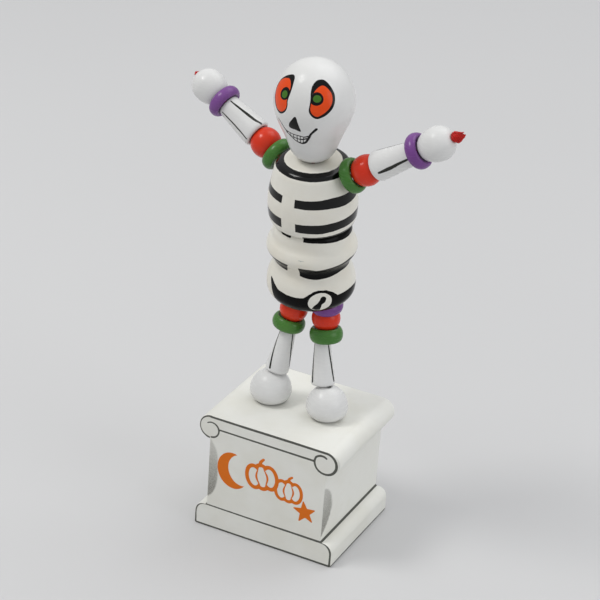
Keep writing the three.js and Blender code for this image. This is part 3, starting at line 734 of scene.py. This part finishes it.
def paint_head(vertices):
    """A skull's face: two eyes, each an outline with a fill, a pupil and an iris, nose and grin."""
    radius = 9.3
    p = on_surface(vertices, radius)

    def at(points):
        return unrolled(points, radius)

    def shape(points):
        return filled(p, blob(at(points)))

    def spot(middle, radii, tilt):
        return filled(p, ellipse(at([middle])[0], radii, tilt))

    eyes = either(
        shape([(47.3, 22.95), (56, 22.75), (63, 21.9), (67.2, 20.4), (66.3, 18.8), (61, 17.2),
               (53, 16.0), (45.8, 15.35), (38, 15.0), (31, 15.6), (26.8, 16.7), (27.2, 18.0),
               (28.2, 19.4), (27.7, 20.6), (29.5, 21.9), (37, 22.75)]),
        shape([(-31.1, 22.5), (-22, 22.85), (-13, 22.5), (-8.3, 21.4), (-6.7, 20.0), (-7.2, 18.8),
               (-7.6, 17.9), (-6.3, 16.8), (-9.1, 15.4), (-17.9, 14.25), (-27.6, 14.4),
               (-36, 15.7), (-42.9, 17.2), (-47.2, 18.9), (-46.8, 20.5), (-40, 21.8)]))
    orange = either(
        shape([(49.2, 21.95), (57, 21.4), (62.2, 20.3), (62.0, 18.9), (58, 17.7), (51.6, 16.7),
               (44.7, 15.95), (37.9, 15.55), (32.0, 16.1), (28.9, 17.1), (29.3, 18.3),
               (30.6, 19.6), (33.0, 20.7), (40.0, 21.6)]),
        shape([(-31.5, 21.75), (-24, 21.95), (-16.5, 21.6), (-11.0, 20.8), (-9.6, 19.8),
               (-9.8, 18.6), (-9.0, 17.6), (-8.0, 16.8), (-10.4, 15.7), (-18.0, 14.75),
               (-27.0, 14.85), (-34.6, 16.0), (-41, 17.4), (-45.2, 19.0), (-44.9, 20.4),
               (-39, 21.3)]))
    nose = shape([(6.4, 14.85), (2.0, 13.9), (-2.6, 12.8), (-4.7, 11.7), (-2.0, 11.35),
                  (6.0, 11.25), (14.6, 11.0), (13.6, 12.2), (11.2, 13.6), (9.2, 14.7)])
    grin, lip, bite = [brush_line(p, curve_through(at(points)), widths) for points, widths in (
        ([(-27.0, 12.3), (-22.0, 11.4), (-16.0, 10.0), (-8.0, 8.65), (0.9, 7.6), (12.2, 7.2),
          (20.7, 7.8), (26.6, 9.3), (30.2, 10.6), (38.0, 12.2)],
         [0.16, 0.22, 0.21, 0.18, 0.18, 0.24, 0.32, 0.32, 0.3, 0.35]),
        ([(-16.5, 10.05), (-9.0, 9.75), (-1.7, 9.6), (12.1, 9.55), (20.0, 9.5), (26.0, 9.9)],
         [0.14, 0.14, 0.14, 0.15, 0.18]),
        ([(-15.5, 9.3), (-8.0, 8.95), (-2.4, 8.7), (6.0, 8.45), (13.9, 8.5), (24.0, 9.1)],
         [0.12, 0.12, 0.14, 0.18, 0.22]))]
    gaps = [((-12.5, 9.8), (-13.5, 9.2)), ((-6.5, 9.7), (-8.0, 8.55)), ((0.5, 9.6), (-2.5, 7.9)),
            ((7.0, 9.5), (4.0, 7.5)), ((12.5, 9.5), (10.0, 7.3)), ((18.5, 9.5), (16.0, 7.5))]
    teeth = [brush_line(p, at(gap), [0.11, 0.13]) for gap in gaps]
    pupils = either(spot((37.6, 19.45), (1.72, 1.36), 4), spot((-17.3, 19.1), (1.62, 1.38), 12))
    green = either(spot((38.4, 19.5), (1.05, 0.76), 0), spot((-17.2, 18.95), (0.96, 0.82), 10))
    return dict(black=either(eyes, nose, grin, lip, bite, *teeth), orange=orange,
                pupil=np.maximum(pupils, eyes), green=green)


def limb_lines(lines):
    """A painter of thin lines down a limb; each is [(degrees, height), ...] and half widths."""
    radius = 2.9
    turn = 2 * pi * radius

    def paint(vertices):
        p = on_surface(vertices, radius)
        distances = [np.full(len(vertices), FAR)]
        for points, widths in lines:
            path = curve_through(unrolled(points, radius), 0.3)
            distances += [brush_line(p + (shift, 0), path, widths) for shift in (0, turn, -turn)]
        return dict(line=either(*distances))
    return paint


BACK_LINE = ([(178, 10.2), (178, 5.5), (178, 0.8)], [0.16, 0.26, 0.22])
LIMB_PAINT = {
    "right_arm": limb_lines([
        ([(63, 9.9), (66, 7.5), (70, 5.0), (74, 2.3), (78, 1.3), (83, 0.5)],
         [0.16, 0.24, 0.28, 0.34, 0.3, 0.22]),
        ([(-10, 9.8), (-6, 7.0), (-4, 4.5), (-4, 2.4), (-5, 1.2), (-7, 0.5)],
         [0.16, 0.2, 0.2, 0.18, 0.16, 0.14]),
        ([(160, 9.8), (166, 6), (172, 2.4), (186, 1.6)], [0.16, 0.24, 0.28, 0.14]),
        ([(-120, 9.8), (-112, 6), (-106, 2.4)], [0.16, 0.22, 0.24]),
    ]),
    "left_arm": limb_lines([
        ([(13.5, 10.1), (15.5, 8.0), (19.5, 5.2), (20, 2.0)], [0.26, 0.34, 0.4, 0.24]),
        ([(-91, 9.6), (-90, 5.4), (-90, 2.0)], [0.2, 0.24, 0.2]),
        ([(110, 9.8), (106, 6), (102, 2.2), (90, 1.5)], [0.16, 0.24, 0.28, 0.14]),
        ([(-165, 9.8), (-170, 6), (-174, 2.4)], [0.16, 0.24, 0.24]),
    ]),
    "right_shin": limb_lines([
        ([(-56, 10.4), (-49, 8.0), (-37, 5.1), (-24, 2.4), (-16, 0.7)], [0.28, 0.32, 0.3, 0.28]),
        ([(64, 10.6), (72, 8.2), (83, 5.5), (97, 2.4), (108, 0.8)], [0.26, 0.3, 0.32, 0.3]),
        BACK_LINE,
    ]),
    "left_shin": limb_lines([
        ([(-52, 10.3), (-48, 7.5), (-44, 5.0), (-39, 2.4), (-35, 0.7)], [0.32, 0.38, 0.38, 0.34]),
        ([(71, 10.2), (76, 7.8), (82, 5.4), (87, 2.8), (92, 0.8)], [0.26, 0.34, 0.36, 0.32]),
        BACK_LINE,
    ]),
}


def make_turned_pieces():
    turned_piece("head", head_profile(), 300, PAINTS["head"], paint_head)
    turned_piece("chest", chest_profile(), 320, PAINTS["chest"], paint_chest)
    turned_piece("hips", hips_profile(), 320, PAINTS["hips"], paint_hips)
    leg_ring = ring_profile(LEG_RING, LEG_BALL, LEG_STEP)
    arm_ring = ring_profile(ARM_RING, ARM_BALL, ARM_STEP)
    for side, limb in SIDES.items():
        knee_ring = ring_profile(LEG_RING, LEG_BALL, LEG_STEP, limb["thicker_ring"])
        for part, profile, sides, paint in (
                ("foot", foot_profile(), 96, "limb"),
                ("shin", shin_profile(limb["shin_length"]), 120, "limb"),
                ("knee_ring", knee_ring, 88, "green"),
                ("knee_ball", ball_profile(LEG_BALL, KNEE_FLAT, KNEE_BORE), 80, "red"),
                ("hip_ring", leg_ring, 88, "purple"),
                ("shoulder_ring", arm_ring, 88, "green"),
                ("shoulder_ball", ball_profile(ARM_BALL), 88, "red"),
                ("arm", arm_profile(), 140, "limb"),
                ("wrist_ring", arm_ring, 88, "purple"),
                ("hand", hand_profile(), 88, "limb")):
            name = f"{side}_{part}"
            painter, slot = None, paint + "_gloss"
            if paint == "limb":
                painter, slot = LIMB_PAINT.get(name, limb_lines([])), "white_gloss"
            turned_piece(name, profile, sides, PAINTS[paint], painter)


# --- the pedestal
def pedestal_rows():
    """The pedestal's right-hand outline from the front, bottom to top, as (x, z)."""
    half, plinth_x, scroll_x = (BASE_HALF_WIDTH - v for v in (0, PLINTH_ROUND, SCROLL_RADIUS))
    plinth = arc(plinth_x, PLINTH_HEIGHT - 0.04 - PLINTH_ROUND, PLINTH_ROUND, PLINTH_ROUND, 0, 90, 0.22)
    scroll = arc(scroll_x, BASE_HEIGHT - SCROLL_RADIUS, SCROLL_RADIUS, SCROLL_RADIUS, -89, 89, 0.2)
    corner = (SHAFT_HALF, PLINTH_HEIGHT)
    low = resample([(half, 0), plinth[0]], 0.24)
    ledge = resample([plinth[-1], corner], 0.22)
    middle = resample([corner, scroll[0]], 0.26)
    return np.vstack([low, plinth[1:], ledge[1:], middle[1:], scroll[1:],
                      [(scroll_x - 0.05, BASE_HEIGHT)]])


def pedestal_mesh():
    """A front and a back grid, joined by rings round the outline that are closest at the edges."""
    grid = np.array([[(u * x, z) for u in np.linspace(-1, 1, 150)] for x, z in pedestal_rows()])
    n_rows, n_across = grid.shape[:2]
    index = np.arange(n_rows * n_across).reshape(n_rows, n_across)
    loop = np.concatenate([index[0, :-1], index[:-1, -1], index[-1, :0:-1], index[:0:-1, 0]])
    flat = grid.reshape(-1, 2)
    near = np.array([0, 0.12, 0.3, 0.55, 0.9, 1.4])
    half = BASE_HALF_DEPTH
    depths = np.concatenate([-half + near, np.linspace(-half + 2, half - 2, 40), half - near[::-1]])
    front = np.column_stack([flat[:, 0], np.full(len(flat), -half), flat[:, 1]])
    vertices, rings = [front, front * (1, -1, 1)], [loop]
    for number, y in enumerate(depths[1:-1]):
        vertices.append(np.column_stack([flat[loop, 0], np.full(len(loop), y), flat[loop, 1]]))
        rings.append(2 * len(flat) + number * len(loop) + np.arange(len(loop)))
    rings.append(loop + len(flat))
    faces = []
    for i in range(n_rows - 1):
        for k in range(n_across - 1):
            face = [int(v) for v in (*index[i, k:k + 2], *index[i + 1, k:k + 2][::-1])]
            faces += [tuple(face), tuple(v + len(flat) for v in reversed(face))]
    for ring, next_ring in zip(rings[:-1], rings[1:]):
        around = zip(np.roll(ring, -1), ring, next_ring, np.roll(next_ring, -1))
        faces += [tuple(int(v) for v in face) for face in around]
    return np.vstack(vertices), faces


def soften_edges(piece):
    """Rounds the sharp edges of a finely meshed block, as paint and sanding do."""
    sharp_angle, rounds = 0.5, 4
    mesh = bmesh.new()
    mesh.from_mesh(piece.data)
    mesh.normal_update()
    sharp = set()
    for edge in mesh.edges:
        if len(edge.link_faces) == 2 and edge.calc_face_angle(0) > sharp_angle:
            sharp.update(edge.verts)
    for number in range(rounds):
        bmesh.ops.smooth_vert(mesh, verts=list(sharp), factor=0.5, use_axis_x=True,
                              use_axis_y=True, use_axis_z=True)
        if number == 0:
            sharp.update(edge.other_vert(v) for v in list(sharp) for edge in v.link_edges)
    mesh.to_mesh(piece.data)
    mesh.free()


def spiral(center, radius, start, end, shrink=0.0):
    angles = np.radians(np.linspace(start, end, 40))
    radii = radius - shrink * np.linspace(0, 1, 40)
    return np.column_stack([center[0] + radii * np.cos(angles), center[1] + radii * np.sin(angles)])


def front_lines(p):
    """The grey brushed lines of the pedestal's front and back faces."""
    top_z, hook_z = 31.42, 28.45
    right = np.vstack([
        spiral((15.55, 28.5), 2.95, 88, -90, 0.05), spiral((15.4, 28.45), 2.85, -92, -205, 0.1),
        spiral((15.1, 28.4), 2.5, -207, -290, 0.8)])
    lines = [
        ([(-16.0, top_z), (-5, top_z - 0.02), (6, top_z + 0.03), (15.6, top_z)],
         [0.26, 0.34, 0.28, 0.35, 0.3]),
        (right, [0.3, 0.38, 0.28, 0.26, 0.26, 0.3, 0.26]),
        (spiral((-15.75, 28.6), 3.0, 95, 262), [0.28, 0.18, 0.12, 0.16, 0.24]),
        (spiral((-15.6, 27.95), 2.1, -88, 128, 0.15), [0.26, 0.2, 0.26, 0.2, 0.14]),
        ([(-13.5, hook_z), (-2, hook_z - 0.05), (12.5, hook_z - 0.1)], [0.22, 0.26, 0.22, 0.28]),
        ([(-16.3, 6.35), (-4, 6.3), (6, 6.35), (16.2, 6.35)], [0.18, 0.22, 0.26, 0.3]),
        ([(-18.6, 0.3), (-4, 0.28), (8, 0.3), (18.6, 0.32)], [0.24, 0.28, 0.33, 0.28]),
        (arc(16.2, 3.6, 2.55, 2.75, 90, 0), [0.28, 0.34, 0.28]),
        ([(18.75, 3.6), (18.7, 0.4)], [0.28, 0.26]),
        (arc(-16.2, 3.6, 2.55, 2.75, 90, 180), [0.22, 0.16, 0.18]),
        ([(-18.75, 3.6), (-18.7, 0.4)], [0.18, 0.22]),
    ]
    return either(*[brush_line(p, path, widths) for path, widths in lines])


def motifs(p):
    """Generic autumn motifs for the pedestal's front: a crescent moon, two pumpkins, a star."""
    moon = np.maximum(filled(p, ellipse((-9.1, 18.3), (4.3, 5.0), 12)),
                      -filled(p, ellipse((-6.9, 19.0), (3.5, 4.2), 12)))
    shapes = [moon]
    for middle, size, tilt in (((-1.1, 19.1), 3.5, 10), ((6.3, 17.5), 3.0, 2)):
        local = (p - middle) @ np.array(Matrix.Rotation(radians(-tilt), 2)).T / size
        lobes = [((-0.62, 0), (0.56, 0.86)), ((0.62, 0), (0.56, 0.86)), ((0, 0.02), (0.62, 0.93))]
        shell = either(*[filled(local, ellipse(*lobe)) for lobe in lobes])
        strokes = [([(b * 0.2, 0.72), (b * 0.44, 0), (b * 0.2, -0.72)], [0.03, 0.09, 0.03])
                   for b in (-1, 1)]
        strokes.append(([(0, 0.95), (0.05, 1.2), (0.3, 1.42)], [0.15, 0.12, 0.1]))
        ribs = [brush_line(local, curve_through(path, 0.1), widths) for path, widths in strokes]
        shapes.append(size * either(np.abs(shell) - 0.15, *ribs))
    angles = np.radians(100 + 36 * np.arange(10))
    radii = np.where(np.arange(10) % 2 == 0, 3.0, 1.25)
    star = np.column_stack([11.0 + radii * np.cos(angles), 13.2 + radii * np.sin(angles)])
    return either(*shapes, filled(p, star) - 0.15)


def paint_pedestal(vertices):
    """Lines on all four sides, motifs on the front, and patches of grey painted shade by the
    front's edges, which are repeated at the back and on the sides."""
    x, y, z = vertices.T
    scroll_z, skin = 25.2, 0.12
    face, side, mirror = np.column_stack([x, z]), np.column_stack([y, z]), np.array((-1, 1))
    on_front, on_back = y < -BASE_HALF_DEPTH + skin, y > BASE_HALF_DEPTH - skin
    on_side = (np.abs(x) > SHAFT_HALF - skin) & ~on_front & ~on_back
    line, motif, smudge = (np.full(len(vertices), FAR) for _ in range(3))
    line[on_front] = front_lines(face[on_front])
    line[on_back] = front_lines(face[on_back] * mirror)
    motif[on_front] = motifs(face[on_front])
    side_line = either(
        brush_line(side[on_side], [(-15.9, 6.4), (-5, 6.45), (6, 6.4), (15.9, 6.4)],
                   [0.34, 0.3, 0.3, 0.26]),
        brush_line(side[on_side], [(-15.9, 0.15), (0, 0.2), (15.9, 0.15)], [0.42, 0.45, 0.36]))
    near_shaft = np.abs(x[on_side]) < SHAFT_HALF + 0.45
    outer = np.abs(x[on_side]) > 18.9
    line[on_side] = np.where(near_shaft | outer, side_line, FAR)
    front_spot = blob([(-15.95, 25.2), (-14.7, 24.2), (-13.6, 21.9), (-13.15, 18.0), (-13.25, 13.5),
                       (-14.1, 10.6), (-15.1, 9.2), (-16.0, 8.9), (-16.4, 13.0), (-16.4, 20.0)])
    shaft_spot = blob([(-16.0, 21.4), (-14.3, 21.0), (-12.2, 19.0), (-11.0, 16.4), (-10.9, 13.4),
                       (-12.4, 10.6), (-14.6, 8.5), (-15.9, 7.9), (-16.4, 12.0), (-16.4, 18.0)])
    scroll_spot = blob([(-16.0, 31.0), (-15.2, 30.6), (-14.9, 29.0), (-15.1, 27.3), (-15.9, 26.6)])
    for where, points, spot in (
            (on_front, face, front_spot), (on_back, face * mirror, front_spot),
            (on_side & (z < scroll_z), side, shaft_spot),
            (on_side & (z >= scroll_z), side, scroll_spot)):
        smudge[where] = filled(points[where], spot)
    # Painted shade: how much grey is laid, more towards the bottom.
    shade = np.clip(-smudge / 0.5 + 0.3, 0, 1) * np.clip(0.6 + 0.03 * (18 - z), 0.35, 0.8)
    return dict(line=line, motif=motif, smudge=shade)


def make_pedestal():
    piece = new_piece("pedestal_painted", *pedestal_mesh(), PAINTS["pedestal"])
    soften_edges(piece)
    drill_out(piece, [((0, 0, -1), (0, 0, BORE_DEPTH), BORE_RADIUS)])
    declare(piece, "base", "base_block")
    co = np.empty(len(piece.data.vertices) * 3)
    piece.data.vertices.foreach_get("co", co)
    for name, values in paint_pedestal(co.reshape(-1, 3) / MM).items():
        store(piece, name, values)


# --- strings, spring and button
def tube(name, path_mm, radius, sides, material, twist=0.0):
    """A closed tube along a path; with a twist it is three-lobed, like laid thread."""
    path = np.asarray(path_mm, float)
    tangents = np.gradient(path, axis=0)
    tangents /= np.linalg.norm(tangents, axis=1)[:, None]
    lobe = 0.16 if twist else 0.0
    angles = np.linspace(0, 2 * np.pi, sides, endpoint=False)
    side = np.cross(tangents[0], (0.37, 0.91, 0.2))
    vertices = []
    for i, (p, t) in enumerate(zip(path, tangents)):
        side = side - t * (side @ t)
        side /= np.linalg.norm(side)
        radii = radius * (1 + lobe * np.cos(3 * (angles + twist * i)))
        vertices.append(p + np.outer(radii * np.cos(angles), side)
                        + np.outer(radii * np.sin(angles), np.cross(t, side)))
    vertices += [path[:1], path[-1:]]
    return new_piece(name, np.vstack(vertices), ring_faces(len(path), sides, True), material)


def on(part, height=0.0, x=0.0):
    """A point in a part's own frame: on its axis, or x beside it."""
    return PLACES[part] @ Vector((x, 0, height))


def string_piece(name, node, start, end, bodies, via=()):
    """A short run of string from one point to another. With two bodies it is put on neither."""
    path = resample([start, *via, end], 0.25)
    piece = tube(name, path, STRING_RADIUS, 14, PAINTS["string"], twist=0.22)
    if len(bodies) == 2:
        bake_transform(piece)
    declare(piece, bodies[0] if len(bodies) == 1 else None, node)


def make_strings():
    """Each long string from its peg to its hand, and the head's string, run by run."""
    off_axis, waist_low, waist_high, knee_bend = 1.3, HIPS_HEIGHT - 1, 1.5, 8.6
    for side, limb in SIDES.items():
        foot_x = limb["side"] * FOOT_X
        node, foot, shin, arm = f"{side}_string", f"{side}_foot", f"{side}_shin", f"{side}_arm"
        ankle, beside = on(foot, FOOT_WAIST), limb["side"] * off_axis
        shin_top = on(shin, limb["shin_length"])
        in_shin = shin_top.lerp(ankle, 0.22)
        beads = [on(f"{side}_{bead}") for bead in ("knee_ring", "knee_ball", "hip_ring")]
        in_hips, turn_up = on("hips", 0.4, limb["side"] * HIP_X), on("hips", 6, beside)
        at_waist, in_chest = on("hips", waist_low, beside), on("chest", waist_high, beside)
        branch, shoulder_ring = on("chest", 9.6, beside), on(f"{side}_shoulder_ring")
        mouth = PLACES["chest"] @ Vector((0, 0, 10.4)).lerp(Vector(limb["shoulder"]), 0.17)
        arm_hole_end = mouth.lerp(shoulder_ring, 0.8)
        ball, wrist = on(f"{side}_shoulder_ball"), on(f"{side}_wrist_ring")
        hand = on(f"{side}_hand")
        peg, bore_top = Vector((foot_x, FOOT_Y, PEG_Z)), Vector((foot_x, FOOT_Y, SPRING_TOP))
        for run, start, end, bodies in (
                ("in_base", peg, on(foot), "base button"),
                ("in_foot", on(foot), ankle, "_foot"),
                ("at_ankle", ankle, on(shin, 0.6), "_foot _shin"),
                ("in_shin", on(shin, 0.5), in_shin, "_shin"),
                ("shoulder_inner", shoulder_ring, ball, "_shoulder_ring _shoulder_ball"),
                ("shoulder_outer", ball, on(arm, 1.5), "_shoulder_ball _arm"),
                ("wrist", on(arm, ARM_LENGTH - 0.8), wrist, "_arm _wrist_ring"),
                ("hand", wrist, hand, "_wrist_ring _hand"),
                ("knee", in_shin, in_hips, "_shin hips"),
                ("in_hips", in_hips, turn_up, "hips"),
                ("up_hips", turn_up, at_waist, "hips"),
                ("waist", at_waist, in_chest, "hips chest"),
                ("in_chest", in_chest, branch, "chest"),
                ("branch", branch, mouth, "chest"),
                ("arm_hole", mouth, arm_hole_end, "chest"),
                ("shoulder_seat", arm_hole_end, shoulder_ring, "chest _shoulder_ring"),
                ("in_arm", on(arm, 1.4), on(arm, ARM_LENGTH - 0.7), "_arm"),
                ("in_hand", hand, on(f"{side}_string_tuft"), "_hand")):
            bodies = [side + body if body[0] == "_" else body for body in bodies.split()]
            string_piece(f"{side}_string_{run}", node, start, end, bodies,
                         beads if run == "knee" else ())
    stops = [on("hips", 4.5), on("hips", waist_low), on("chest", waist_high),
             on("chest", CHEST_HEIGHT - 0.8), on("head", 1.5), on("head", 15.2)]
    runs = [("in_hips", "hips"), ("waist", "hips chest"), ("in_chest", "chest"),
            ("neck", "chest neck"), ("in_head", "neck")]
    for (run, bodies), start, end in zip(runs, stops[:-1], stops[1:]):
        string_piece(f"head_string_{run}", "head_string", start, end, bodies.split())


def make_tufts():
    """The frayed, knotted ends of the arm strings: a lump of thread with loose fibres."""
    fibres = 18
    rng = np.random.default_rng(7)
    for side, limb in SIDES.items():
        length, size, place = limb["tuft"], limb["tuft_size"], PLACES[f"{side}_string_tuft"]
        profile = curve_through([
            (0.0, -0.3), (0.9, -0.1), (1.25, length * 0.12), (1.15, length * 0.35),
            (0.7, length * 0.62), (0.28, length * 0.85), (0.0, length * 0.93)], 0.12)
        profile[:, 0] = size * np.maximum(profile[:, 0], 0)
        profile[0, 0] = profile[-1, 0] = 0
        vertices, faces = lathe_mesh(profile, 56)
        angle, z = np.arctan2(vertices[:, 1], vertices[:, 0]), vertices[:, 2]
        swirl = (0.13 * np.sin(3 * angle + 1.2 * z) + 0.08 * np.sin(7 * angle + 3 * z)
                 + 0.05 * np.sin(13 * angle - 5 * z))
        vertices[:, :2] *= (1 + swirl * np.clip(z + 0.4, 0, 1))[:, None]
        vertices[:, 0] += limb["droop"] * z ** 2
        knot = new_piece(f"{side}_tuft_knot", vertices, faces, PAINTS["string"], place)
        declare(knot, f"{side}_hand", f"{side}_string_tuft")
        for k in range(fibres):
            angle = 2 * pi * (k + rng.uniform(-0.3, 0.3)) / fibres
            out = size * rng.uniform(0.75, 1.3)
            reach = length * rng.uniform(0.6, 1.05)
            sideways = rng.uniform(-0.3, 0.5) * size
            path = curve_through([
                (r * cos(angle + turn) + shift, r * sin(angle + turn), z)
                for r, turn, shift, z in (
                    (size * 0.85, 0, 0, 0.05), (out * 1.15, 0.15, 0, reach * 0.3),
                    (out * 0.8, 0.4, 0, reach * 0.65), (0.3 * out, 0.6, sideways, reach))], 0.18)
            strand = tube(f"{side}_tuft_fibre_{k + 1}", [place @ Vector(p) for p in path], 0.1, 8,
                          PAINTS["string"])
            declare(strand, f"{side}_hand")


def make_button():
    profile = outline(
        [(0, 0.8), (9.8, 0.8)], arc(9.8, 1.2, 0.4, 0.4, -90, 0, 0.1), [(10.2, 1.2), (10.2, 3.8)],
        [(10.2, 3.8), (11.1, 3.8)], arc(11.1, 4.1, 0.3, 0.3, -90, 0, 0.1),
        [(11.4, 4.1), (11.4, 6.5)], arc(11.1, 6.5, 0.3, 0.3, 0, 90, 0.1), [(11.1, 6.8), (3.3, 6.8)],
        [(3.3, 6.8), (3.0, 8.8)], [(3.0, 8.8), (0, 8.8)], step=0.4)
    vertices, faces = lathe_mesh(profile, 96)
    hollow = np.clip(1 - np.hypot(vertices[:, 0], vertices[:, 1]) / 9.8, 0, 1) ** 2
    vertices[:, 2] += 0.25 * hollow * (vertices[:, 2] < 0.81)
    button = new_piece("button_turned", vertices, faces, PAINTS["button"])
    drill_out(button, [((s * FOOT_X, FOOT_Y, 0), (s * FOOT_X, FOOT_Y, 3.3), 1.6) for s in (-1, 1)])
    declare(button, "button", "button")
    for node, paint in (("left_string_peg", "peg"), ("right_string_peg", "peg"),
                        ("head_knot", "string")):
        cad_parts[node].data.materials[0] = PAINTS[paint]


def make_spring():
    """A coil with a closed turn at each end."""
    radius, bottom, top, turns = 4.3, 7.62, 23.2, 6
    t = np.linspace(0, 1, turns * 40 + 1)
    rise = np.interp(t, [0, 0.09, 0.91, 1], [0, 0.012, 0.988, 1])
    angle = 2 * np.pi * turns * t
    path = np.column_stack([radius * np.cos(angle), radius * np.sin(angle),
                            bottom + (top - bottom) * rise])
    spring = tube("coil_spring", path, 0.45, 12, PAINTS["steel"])
    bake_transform(spring)
    declare(spring, node="button_spring")


def make_floor():
    half = 3000
    vertices = [(-half, -half, 0), (half, -half, 0), (half, half, 0), (-half, half, 0)]
    new_piece("studio_floor", vertices, [(0, 1, 2, 3)], floor_paper())


make_camera()
make_light()
make_floor()
make_pedestal()
make_button()
make_spring()
make_turned_pieces()
make_strings()
make_tufts()

bpy.context.view_layer.update()
